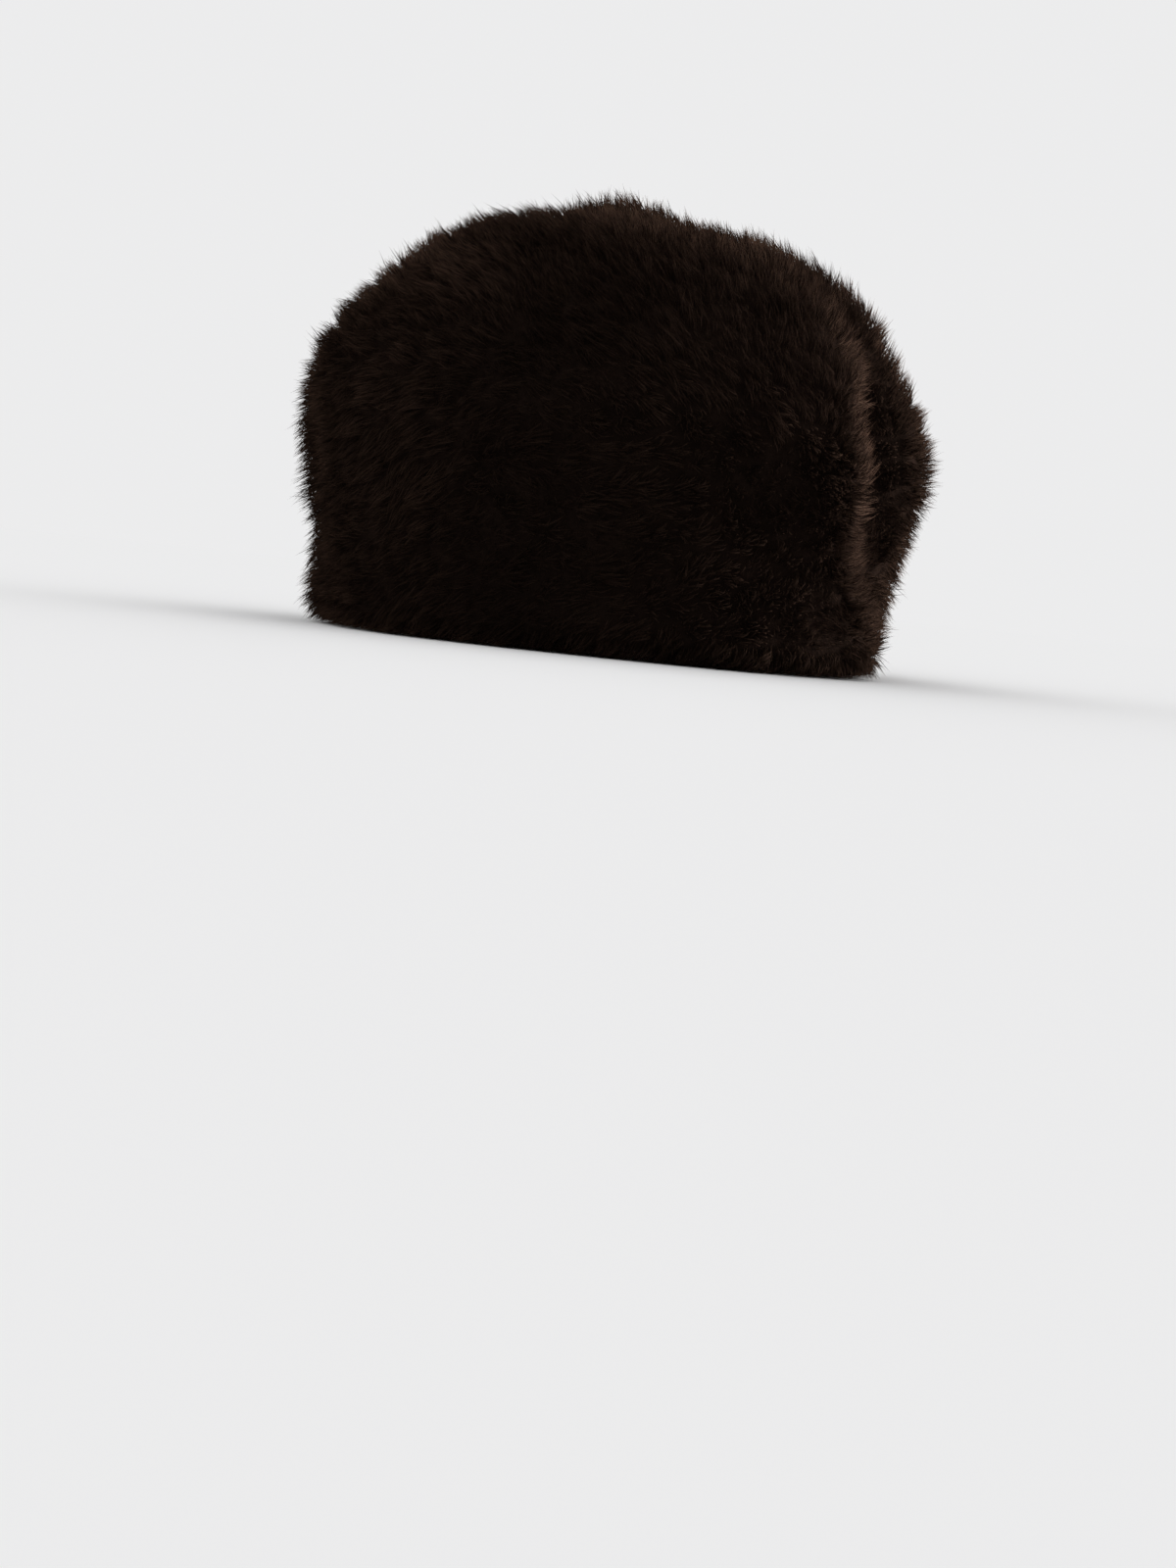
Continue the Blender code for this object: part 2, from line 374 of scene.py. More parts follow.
@dataclass(frozen=True)
class HairFinish:
    """The fur's hairs: nearly black at the root, warm brown at the tip, each its own tone."""

    name: str = "fur_hair"
    root: Stop = (0.2, (0.0040, 0.0028, 0.0024, 1.0))
    middle: Stop = (0.6, (0.0096, 0.0062, 0.0051, 1.0))
    tip: Stop = (1.0, (0.0245, 0.0150, 0.0112, 1.0))
    darkest: Stop = (0.0, (0.45, 0.46, 0.47, 1.0))
    lightest: Stop = (1.0, (1.78, 1.68, 1.58, 1.0))
    patches: Grain = Grain(16.0, 2.0)
    dark_patch: Stop = (0.34, (0.64, 0.64, 0.65, 1.0))
    pale_patch: Stop = (0.66, (1.30, 1.28, 1.25, 1.0))
    roughness: float = 0.6
    specular: float = 0.0
    shine: Colour = (0.62, 0.36, 0.23, 1.0)
    sheen: float = 0.06
    sheen_roughness: float = 0.5

    def material(self) -> bpy.types.Material:
        """The hairs' material, by place along the hair, by hair and in wide soft patches.

        Returns:
            The material.
        """
        shading = Shading(self.name)
        along = shading.ramp(shading.attribute("along"), self.root, self.middle, self.tip)
        tone = shading.ramp(shading.attribute("tone"), self.darkest, self.lightest)
        patches = shading.ramp(shading.noise(self.patches), self.dark_patch, self.pale_patch)
        colour = shading.multiplied(shading.multiplied(along, tone), patches)
        shading.finish(colour, self.roughness, self.specular)
        shading.shader.inputs["Specular Tint"].default_value = self.shine
        shading.shader.inputs["Sheen Weight"].default_value = self.sheen
        shading.shader.inputs["Sheen Roughness"].default_value = self.sheen_roughness
        shading.shader.inputs["Sheen Tint"].default_value = self.shine
        return shading.material


@dataclass(frozen=True)
class UnderfurFinish:
    """The dense underfur between the hairs, darker than they are."""

    name: str = "fur_underfur"
    patches: Grain = Grain(90.0, 6.0, 0.7)
    deep: Stop = (0.3, (0.004, 0.0025, 0.0019, 1.0))
    raised: Stop = (0.75, (0.012, 0.0073, 0.0055, 1.0))
    roughness: float = 0.9
    specular: float = 0.0
    nap: Grain = Grain(900.0, 3.0)
    nap_strength: float = 0.8
    nap_height: float = 0.001

    def material(self) -> bpy.types.Material:
        """The underfur's material, patchy and finely rough.

        Returns:
            The material.
        """
        shading = Shading(self.name)
        colour = shading.ramp(shading.noise(self.patches), self.deep, self.raised)
        shading.finish(colour, self.roughness, self.specular)
        shading.bump(shading.noise(self.nap), self.nap_strength, self.nap_height)
        return shading.material


@dataclass(frozen=True)
class LiningFinish:
    """A nearly black woven cloth with pale specks between its threads."""

    name: str = "lining_cloth"
    threads: float = 560.0
    slant: float = math.radians(38.0)
    gap: Stop = (0.05, (0.004, 0.0036, 0.0038, 1.0))
    thread: Stop = (0.45, (0.022, 0.020, 0.021, 1.0))
    speck: Stop = (0.97, (0.075, 0.070, 0.070, 1.0))
    wear: Grain = Grain(160.0, 5.0, 0.65)
    matted: Stop = (0.35, (0.6, 0.6, 0.6, 1.0))
    rubbed: Stop = (0.7, (1.4, 1.38, 1.36, 1.0))
    roughness: float = 0.6
    specular: float = 0.2
    weave_strength: float = 0.7
    weave_height: float = 0.0004

    def material(self) -> bpy.types.Material:
        """The lining's material: two sets of slanting threads, uneven and flecked.

        Returns:
            The material.
        """
        shading = Shading(self.name)
        weave = shading.multiplied(
            shading.waves(self.threads, self.slant), shading.waves(self.threads, -self.slant)
        )
        colour = shading.ramp(weave, self.gap, self.thread, self.speck)
        wear = shading.ramp(shading.noise(self.wear), self.matted, self.rubbed)
        shading.finish(shading.multiplied(colour, wear), self.roughness, self.specular)
        shading.bump(weave, self.weave_strength, self.weave_height)
        return shading.material


@dataclass(frozen=True)
class FloorFinish:
    """Matt pale studio floor."""

    name: str = "studio_floor"
    mottling: Grain = Grain(3.0, 2.0)
    greyer: Stop = (0.0, (0.950225, 0.950225, 0.950225, 1.0))
    paler: Stop = (1.0, (0.955, 0.955, 0.955, 1.0))
    roughness: float = 1.0
    specular: float = 0.0

    def material(self) -> bpy.types.Material:
        """The floor's material, with the faintest of mottling.

        Returns:
            The material.
        """
        shading = Shading(self.name)
        colour = shading.ramp(shading.noise(self.mottling), self.greyer, self.paler)
        shading.finish(colour, self.roughness, self.specular)
        return shading.material


@dataclass
class UnderFur:
    """The soft body of one piece of fur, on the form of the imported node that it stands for."""

    node: str
    name: str
    slot: str = "fur"
    voxel: float = 0.0035
    smoothing: int = 3
    depth: float = 0.0055
    tuft_size: float = 0.012
    tuft_detail: int = 2
    tuft_height: float = 0.004

    def build(self, pelt: BVHTree, finish: bpy.types.Material) -> bpy.types.Object:
        """Builds the underfur: the node's form, set back below the pelt and raised in tufts.

        Args:
            pelt: The surface that the tips of the fur end at.
            finish: The underfur's material.

        Returns:
            The finished piece.
        """
        form = copy_of_node(self.node, self.name)
        apply_modifier(form, "REMESH", mode="VOXEL", voxel_size=self.voxel)
        apply_modifier(form, "SMOOTH", factor=SMOOTHING_STEP, iterations=self.smoothing)
        group = form.vertex_groups.new(name="outside")
        for index in self.set_back(form, pelt):
            group.add([index], 1.0, "REPLACE")
        apply_modifier(
            form,
            "DISPLACE",
            texture=clouds(f"{self.name}_tufts", self.tuft_size, self.tuft_detail),
            texture_coords="LOCAL",
            strength=self.tuft_height,
            mid_level=0.5,
            vertex_group="outside",
        )
        raise_to_floor(form)
        form.data.materials.append(finish)
        form.data.shade_smooth()
        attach(form, BODY)
        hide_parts(self.node)
        return form

    def set_back(self, form: bpy.types.Object, pelt: BVHTree) -> list[int]:
        """Moves each point of the form's furred side to its depth below the pelt.

        Args:
            form: The form.
            pelt: The surface that the tips of the fur end at.

        Returns:
            The indices of the points that were moved.
        """
        places, _ = points_of(form)
        moved = []
        for index, place in enumerate(places):
            spot, normal, _, _ = pelt.find_nearest(Vector(place))
            short = self.depth - (spot - Vector(place)).dot(normal)
            if short > 0 and furred(np.array([spot]), np.array([normal]))[0]:
                places[index] -= np.array(normal) * short
                moved.append(index)
        move_points(form, places)
        return moved


@dataclass(frozen=True)
class Crease:
    """A soft dent in the fur, or a swelling where its depth is negative.

    Its middle stands at an azimuth in degrees, which sways from side to side with the height
    and sweeps round towards the foot.
    """

    azimuth: float
    half_angle: float
    height: float
    half_height: float
    depth: float
    sway: float = 0.0
    sweep: float = 0.0
    sway_length: float = 0.060
    sway_start: float = 0.143
    foot: float = 0.100

    def depths(self, places: np.ndarray) -> np.ndarray:
        """How far the crease moves each place inwards.

        Args:
            places: Rows of points.

        Returns:
            The depth at each.
        """
        level = places[:, 2]
        middle = self.azimuth
        middle += self.sway * np.cos(math.tau * (level - self.sway_start) / self.sway_length)
        middle += self.sweep * np.clip((self.foot - level) / self.foot, 0.0, 1.0) ** 2
        turns = np.degrees(np.arctan2(places[:, 1], places[:, 0])) - middle
        across = ((turns + 180.0) % 360.0 - 180.0) / self.half_angle
        up = (level - self.height) / self.half_height
        return self.depth * np.exp(-(across**2) - up**2)


CREASES = (
    # The valley by the fold at the front's right, and the ridge before it.
    Crease(azimuth=-29.5, half_angle=8.0, height=0.107, half_height=0.035, depth=0.012,
           sway=2.5, sweep=18.0),
    Crease(azimuth=-47.0, half_angle=9.0, height=0.076, half_height=0.085, depth=-0.0078,
           sway=2.5, sweep=22.0),
    # A fainter pair at the left.
    Crease(azimuth=199.0, half_angle=5.0, height=0.080, half_height=0.050, depth=0.006, sway=2.0),
    Crease(azimuth=210.0, half_angle=6.0, height=0.080, half_height=0.050, depth=-0.003, sway=2.0),
    # The fuller right shoulder.
    Crease(azimuth=-3.0, half_angle=24.0, height=0.172, half_height=0.018, depth=-0.006),
)


def press_creases(piece: bpy.types.Object, share: np.ndarray) -> None:
    """Presses the creases into a piece.

    Args:
        piece: The piece.
        share: How far each of its points follows, from 0 to 1.
    """
    places, _ = points_of(piece)
    depth = sum(crease.depths(places) for crease in CREASES) * share
    places -= unit(places * (1, 1, 0)) * depth[:, None]
    move_points(piece, places)


@dataclass(frozen=True)
class Whorl:
    """The whorl at the peak: its middle stands up, and the pile round it lies closer."""

    middle: tuple[float, float] = (-0.007, -0.004)
    rise: float = 0.003
    rise_radius: float = 0.022
    dip: float = 0.0035
    dip_radius: float = 0.042
    dip_width: float = 0.017
    above: float = 0.185

    def shape(self, piece: bpy.types.Object) -> None:
        """Raises and lowers the top of a piece.

        Args:
            piece: The piece.
        """
        places, _ = points_of(piece)
        away = np.hypot(places[:, 0] - self.middle[0], places[:, 1] - self.middle[1])
        lift = self.rise * np.exp(-((away / self.rise_radius) ** 2))
        lift -= self.dip * np.exp(-(((away - self.dip_radius) / self.dip_width) ** 2))
        places[:, 2] += lift * (places[:, 2] > self.above)
        move_points(piece, places)


@dataclass(frozen=True)
class Pelt:
    """The smooth surface that the tips of the fur end at, over the whole hat."""

    nodes: tuple[str, ...] = ("side_band", "crown")
    voxel: float = 0.0035
    closing: float = 0.006
    smoothing: int = 14
    loft: float = 0.0013
    last_smoothing: int = 2
    whorl: Whorl = Whorl()

    def build(self) -> bpy.types.Object:
        """The two pieces of fur as one skin, closed over their locks and shaped again.

        Returns:
            A new object, at the origin, that is not a part of the hat.
        """
        copies = [copy_of_node(node, f"{node}_pelt") for node in self.nodes]
        deselect_all()
        for piece in copies:
            piece.select_set(True)
        bpy.context.view_layer.objects.active = copies[0]
        bpy.ops.object.join()
        pelt = copies[0]
        apply_modifier(pelt, "REMESH", mode="VOXEL", voxel_size=self.voxel)
        apply_modifier(pelt, "DISPLACE", strength=self.closing, mid_level=0.0)
        apply_modifier(pelt, "REMESH", mode="VOXEL", voxel_size=self.voxel)
        apply_modifier(pelt, "SMOOTH", factor=SMOOTHING_STEP, iterations=self.smoothing)
        apply_modifier(pelt, "DISPLACE", strength=self.loft - self.closing, mid_level=0.0)
        apply_modifier(pelt, "SMOOTH", factor=SMOOTHING_STEP, iterations=self.last_smoothing)
        press_creases(pelt, furred(*points_of(pelt)))
        self.whorl.shape(pelt)
        return pelt


class Scatter:
    """Random places on the furred outside of a form."""

    def __init__(self, form: bpy.types.Object) -> None:
        """Reads the form's triangles.

        Args:
            form: The smooth form.
        """
        mesh = form.data
        mesh.calc_loop_triangles()
        corners = np.empty(len(mesh.loop_triangles) * 3, np.int32)
        mesh.loop_triangles.foreach_get("vertices", corners)
        self.corners = corners.reshape(-1, 3)
        self.places, self.normals = points_of(form)
        a, b, c = (self.places[self.corners[:, i]] for i in range(3))
        self.areas = np.linalg.norm(np.cross(b - a, c - a), axis=1) / 2
        middle = (a + b + c) / 3
        facing = unit(self.normals[self.corners].sum(axis=1))
        self.areas[~furred(middle, facing)] = 0.0
        self.middle, self.facing = middle, facing

    def draw(
        self, count: int, weight: np.ndarray, chance: np.random.Generator
    ) -> tuple[np.ndarray, np.ndarray]:
        """Random places, as many in each triangle as its weighted area asks.

        Args:
            count: How many places.
            weight: A weight for each triangle.
            chance: The random generator.

        Returns:
            The places and the normals there.
        """
        shares = self.areas * weight
        picked = chance.choice(len(shares), count, p=shares / shares.sum())
        u, v = chance.random(count), chance.random(count)
        over = u + v > 1
        u[over], v[over] = 1 - u[over], 1 - v[over]
        weights = np.stack([1 - u - v, u, v], axis=1)[:, :, None]
        corners = self.corners[picked]
        places = (self.places[corners] * weights).sum(axis=1)
        normals = unit((self.normals[corners] * weights).sum(axis=1))
        return places, normals


@dataclass(frozen=True)
class Comb:
    """How the fur lies: which way the tufts lean, and how far, in radians."""

    centre: tuple[float, float, float] = (0.0, 0.0, 0.10)
    brushed: tuple[float, float, float] = (-0.8, 0.0, 0.0)
    across_by_side: float = -5.0
    rise_by_side: float = 3.0
    rise_limit: float = 0.03
    rise_by_height: float = 2.5
    unrest: float = 0.18
    weak_flow: float = 0.4
    strong_flow: float = 0.7
    swirl: float = 0.30
    swirl_size: float = 0.050
    wide_eddy: float = 2.2
    fine_eddy: float = 1.0
    fine_share: float = 0.35
    fine_offset: tuple[float, float, float] = (7.0, 1.0, 3.0)
    least_lean: float = 0.15
    most_lean: float = 0.70
    lean_unrest: float = 0.12
    lean_size: float = 0.03
    lean_swing: float = 0.9
    lean_offset: tuple[float, float, float] = (0.0, 0.0, 9.1)

    def directions(
        self, places: np.ndarray, normals: np.ndarray, chance: np.random.Generator
    ) -> np.ndarray:
        """The way each tuft points, as unit vectors.

        Args:
            places: The tufts' places.
            normals: The normals there.
            chance: The random generator.

        Returns:
            Rows of unit vectors.
        """
        from_centre = places - np.array(self.centre)
        flow = np.array(self.brushed) + np.zeros_like(places)
        flow[:, 0] += self.across_by_side * from_centre[:, 0]
        flow[:, 2] += self.rise_by_side * np.minimum(from_centre[:, 0], self.rise_limit)
        flow[:, 2] += self.rise_by_height * from_centre[:, 2]
        flow += self.swirl * np.array([self.eddy(place) for place in places])
        flow += chance.normal(0.0, self.unrest, places.shape)
        flow -= normals * (flow * normals).sum(axis=1, keepdims=True)
        leans = np.array([self.lean(place) for place in places])
        strength = np.linalg.norm(flow, axis=1) / self.strong_flow
        leans *= np.clip(strength, self.weak_flow, 1.0)
        leans += chance.normal(0.0, self.lean_unrest, len(places))
        return unit(normals * np.cos(leans)[:, None] + unit(flow) * np.sin(leans)[:, None])

    def eddy(self, place: np.ndarray) -> Vector:
        """The swirl's pull.

        Args:
            place: Where.

        Returns:
            The pull there.
        """
        wide = noise.noise_vector(Vector(place) / self.swirl_size)
        fine_size = self.fine_share * self.swirl_size
        fine = noise.noise_vector(Vector(place) / fine_size + Vector(self.fine_offset))
        return self.wide_eddy * wide + self.fine_eddy * fine

    def lean(self, place: np.ndarray) -> float:
        """How far the fur leans from upright on the hide.

        Args:
            place: Where.

        Returns:
            The lean there in radians.
        """
        spot = Vector(place) / self.lean_size + Vector(self.lean_offset)
        share = 0.5 + self.lean_swing * noise.noise(spot)
        share = min(max(share, 0.0), 1.0)
        return self.least_lean + (self.most_lean - self.least_lean) * share


@dataclass(frozen=True)
class Hair:
    """One kind of hair: its shape, how high it stands, and how it gathers and lies over.

    A hair starts at its depth below the pelt, bends, and ends at a height above the pelt that
    lies between the two of height. Its place of greatest radius, widest, is a share of its
    length. A hair at its tuft's edge is shorter by taper, and some are shorter at random.
    """

    name: str
    widest: float
    radius: float
    height: tuple[float, float]
    gather: float
    stray: float
    lay: float
    taper: float
    most_stray: float = 2.5
    depth: float = 0.008
    least_upright: float = 0.4
    shortening: float = 0.30
    shortness: tuple[float, float] = (1.2, 2.6)
    bend_lean: float = 0.4
    bend_share: float = 0.5
    tuft_tone: float = 0.5
    thinnest: float = 0.7
    thickness_range: float = 0.6

    @property
    def pointed_root(self) -> bool:
        """Whether it tapers towards its root too, and isn't cut flat there."""
        return self.widest > 0.0


UNDERCOAT = Hair(
    name="undercoat",
    widest=0.0,
    radius=0.00028,
    height=(-0.0020, 0.0038),
    gather=0.50,
    stray=0.00045,
    lay=0.0008,
    taper=0.22,
)
GUARD_HAIR = Hair(
    name="guard_hair",
    widest=0.5,
    radius=0.00018,
    height=(0.0022, 0.0076),
    gather=0.58,
    stray=0.0008,
    lay=0.0016,
    taper=0.10,
)


def tree_of(places: np.ndarray) -> KDTree:
    """A tree that finds the places near a point.

    Args:
        places: Rows of points.

    Returns:
        The tree.
    """
    tree = KDTree(len(places))
    for index, place in enumerate(places):
        tree.insert(place, index)
    tree.balance()
    return tree


@dataclass(frozen=True)
class Locking:
    """How the tufts draw together into wider locks, which are fullest in their middle."""

    spacing: float = 0.012
    own_way: float = 0.6
    lock_way: float = 0.4
    pull: float = 0.28
    share: float = 0.5
    contrast: float = 1.5
    mean_height: float = 0.5
    fullness: float = 0.62
    edge_drop: float = 0.35


class Tufts:
    """Places that the hairs gather to, spread evenly over a form."""

    TRIES = 3  # how many places are tried for each square of the spacing
    LEAST_GAP = 0.72  # how near two tufts stand at the least, as a share of the spacing
    HEIGHTS = (2.0, 2.4)  # the two powers of the beta distribution of their heights

    def __init__(
        self,
        scatter: Scatter,
        grown: np.ndarray,
        spacing: float,
        comb: Comb,
        chance: np.random.Generator,
    ) -> None:
        """Places the tufts and combs them.

        Args:
            scatter: The form's places.
            grown: A mask of the triangles where they grow.
            spacing: The distance between tufts in metres.
            comb: How the fur lies.
            chance: The random generator.
        """
        count = int(self.TRIES * (scatter.areas * grown).sum() / spacing**2)
        places, normals = scatter.draw(count, grown, chance)
        near = tree_of(places)
        kept = np.ones(count, bool)
        for index, place in enumerate(places):
            if kept[index]:
                for _, other, _ in near.find_range(place, self.LEAST_GAP * spacing):
                    kept[other] = other <= index and kept[other]
        self.spacing = spacing
        self.places, self.normals = places[kept], normals[kept]
        self.directions = comb.directions(self.places, self.normals, chance)
        self.heights = chance.beta(*self.HEIGHTS, len(self.places))
        self.tones = chance.random(len(self.places))
        self.tree = tree_of(self.places)

    def nearest(self, places: np.ndarray) -> np.ndarray:
        """The index of the tuft nearest to each place."""
        return np.array([self.tree.find(place)[1] for place in places])

    def gather_to(self, locks: "Tufts", by: Locking) -> None:
        """Draws the tufts together into wider locks.

        Args:
            locks: The wider tufts.
            by: How strongly they draw together.
        """
        lock = locks.nearest(self.places)
        inward = (locks.places[lock] - self.places) / locks.spacing
        mixed = by.own_way * self.directions + by.lock_way * locks.directions[lock]
        self.directions = unit(mixed + by.pull * inward)
        heights = (1 - by.share) * self.heights + by.share * locks.heights[lock]
        edge = np.minimum(np.linalg.norm(inward, axis=1), 1.0)
        heights = by.contrast * (heights - by.mean_height) + by.fullness - by.edge_drop * edge
        self.heights = np.clip(heights, 0.0, 1.0)
        self.tones = (1 - by.share) * self.tones + by.share * locks.tones[lock]


@dataclass
class Pile:
    """A joined mesh of hairs that grow in tufts out of one stretch of a form."""

    name: str
    hair: Hair
    count: int
    weight: np.ndarray
    spread: float = 1.0
    slot: str = "fur"

    def build(
        self,
        scatter: Scatter,
        tufts: Tufts,
        finish: bpy.types.Material,
        chance: np.random.Generator,
    ) -> bpy.types.Object:
        """Grows the hairs.

        Args:
            scatter: The form's places.
            tufts: The tufts that they gather to.
            finish: The hairs' material.
            chance: The random generator.

        Returns:
            The finished piece.
        """
        hair = self.hair
        places, normals = scatter.draw(self.count, self.weight, chance)
        tuft = tufts.nearest(places)
        offset = places - tufts.places[tuft]
        directions = tufts.directions[tuft]
        least, most = hair.height
        height = (least + (most - least) * tufts.heights[tuft]) * self.spread
        upright = (directions * tufts.normals[tuft]).sum(axis=1)
        upright = np.maximum(upright, hair.least_upright)
        reach = (height + hair.depth) / upright
        outer = np.minimum(np.linalg.norm(offset, axis=1) / (0.5 * tufts.spacing), 1.0)
        shorter = hair.shortening * chance.beta(*hair.shortness, self.count)
        size = (1 - hair.taper * outer**2) * (1 - shorter)
        roots = places - normals * hair.depth
        base = tufts.places[tuft] - tufts.normals[tuft] * hair.depth
        tips = base + offset * (1 - hair.gather) + directions * (reach * size)[:, None]
        tips += unit(directions - normals * upright[:, None]) * (hair.lay * size)[:, None]
        stray = np.minimum(chance.exponential(1.0, (self.count, 1)), hair.most_stray)
        tips += chance.normal(size=(self.count, 3)) * (hair.stray * stray)
        length = np.linalg.norm(tips - roots, axis=1)
        bend = unit(normals + hair.bend_lean * directions)
        bend = roots + bend * (hair.bend_share * length)[:, None]
        points, corners, along, flat = hair_mesh(hair, roots, bend, tips, chance)
        own_tones = (1 - hair.tuft_tone) * chance.random(self.count)
        tone = np.clip(hair.tuft_tone * tufts.tones[tuft] + own_tones, 0.0, 1.0)
        per_hair = len(points) // self.count
        piece = piece_from_arrays(self.name, points, corners)
        layer = piece.data.uv_layers.new(name=BAKE_MAP)
        layer.uv.foreach_set("vector", flat.astype(np.float32).ravel())
        for name, values in (("along", along), ("tone", np.repeat(tone, per_hair))):
            attribute = piece.data.attributes.new(name, "FLOAT", "POINT")
            attribute.data.foreach_set("value", values.astype(np.float32))
        piece.data.materials.append(finish)
        piece.data.shade_smooth()
        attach(piece, BODY)
        return piece


# Each hair has a square cell of its own in the flat map, with its three sides next to each other.
SIDE_PLACES = (0.1, 0.5, 0.9)  # a side's left edge, middle and right edge, in its third
TIP_LEVEL, LOWEST_RING, ROOT_LEVEL = 0.95, 0.15, 0.05  # up the cell
CUT_END = ((0.1, 0.02), (0.3, 0.02), (0.2, 0.12))  # the flat end of a hair that is cut there


def hair_mesh(
    hair: Hair,
    roots: np.ndarray,
    bend: np.ndarray,
    tips: np.ndarray,
    chance: np.random.Generator,
) -> tuple[np.ndarray, np.ndarray, np.ndarray, np.ndarray]:
    """Closed three-sided spikes along curves from root to tip.

    Args:
        hair: The kind of hair.
        roots: Their roots.
        bend: The points that pull their curves.
        tips: Their tips.
        chance: The random generator.

    Returns:
        The vertices, the triangles, each vertex's place along its hair from 0 to 1, and each
        corner's place in a flat map where every hair has a cell of its own.
    """
    count, place = len(roots), hair.widest
    side = unit(np.cross(tips - roots, chance.normal(size=(count, 3))))
    radius = hair.radius * (hair.thinnest + hair.thickness_range * chance.random(count))
    centre = (1 - place) ** 2 * roots + 2 * place * (1 - place) * bend + place**2 * tips
    way = unit((1 - place) * (bend - roots) + place * (tips - bend))
    first = unit(side - way * (side * way).sum(axis=1, keepdims=True))
    second = np.cross(way, first)
    levels = [
        centre + (first * math.cos(angle) + second * math.sin(angle)) * radius[:, None]
        for angle in (0.0, math.tau / 3, 2 * math.tau / 3)
    ]
    levels.append(tips)
    shares = [place] * 3 + [1.0]
    columns = [tuple((i + spot) / 3 for spot in SIDE_PLACES) for i in range(3)]
    ring = max(place, LOWEST_RING)
    faces = [(i, (i + 1) % 3, 3) for i in range(3)]
    cell = [
        ((left, ring), (right, ring), (middle, TIP_LEVEL)) for left, middle, right in columns
    ]
    if hair.pointed_root:
        levels.append(roots)
        shares.append(0.0)
        faces += [(4, (i + 1) % 3, i) for i in range(3)]
        cell += [
            ((middle, ROOT_LEVEL), (right, ring), (left, ring)) for left, middle, right in columns
        ]
    else:
        faces.append((0, 2, 1))
        cell.append(CUT_END)
    points = np.stack(levels, axis=1)
    points[:, :, 2] = np.maximum(points[:, :, 2], FLOOR_CLEARANCE)
    hairs = np.arange(count)
    corners = np.array(faces)[None, :, :] + hairs[:, None, None] * len(shares)
    across = math.ceil(math.sqrt(count))
    corner_of_cell = np.stack([hairs % across, hairs // across], axis=1)[:, None, None, :]
    flat = (corner_of_cell + np.array(cell)[None, :, :, :]) / across
    return (
        points.reshape(-1, 3),
        corners.reshape(-1, 3),
        np.tile(np.array(shares), count),
        flat.reshape(-1, 2),
    )


def piece_from_arrays(
    name: str, points: np.ndarray, corners: np.ndarray
) -> bpy.types.Object:
    """An object whose mesh is these vertices and triangles.

    Args:
        name: Its name.
        points: The vertices' places, in rows.
        corners: The triangles' vertices, in rows.

    Returns:
        The object.
    """
    mesh = bpy.data.meshes.new(name)
    mesh.vertices.add(len(points))
    mesh.vertices.foreach_set("co", points.astype(np.float32).ravel())
    mesh.loops.add(corners.size)
    mesh.loops.foreach_set("vertex_index", corners.astype(np.int32).ravel())
    mesh.polygons.add(len(corners))
    mesh.polygons.foreach_set("loop_start", np.arange(0, corners.size, 3, dtype=np.int32))
    mesh.update(calc_edges=True)
    piece = bpy.data.objects.new(name, mesh)
    bpy.context.scene.collection.objects.link(piece)
    return piece


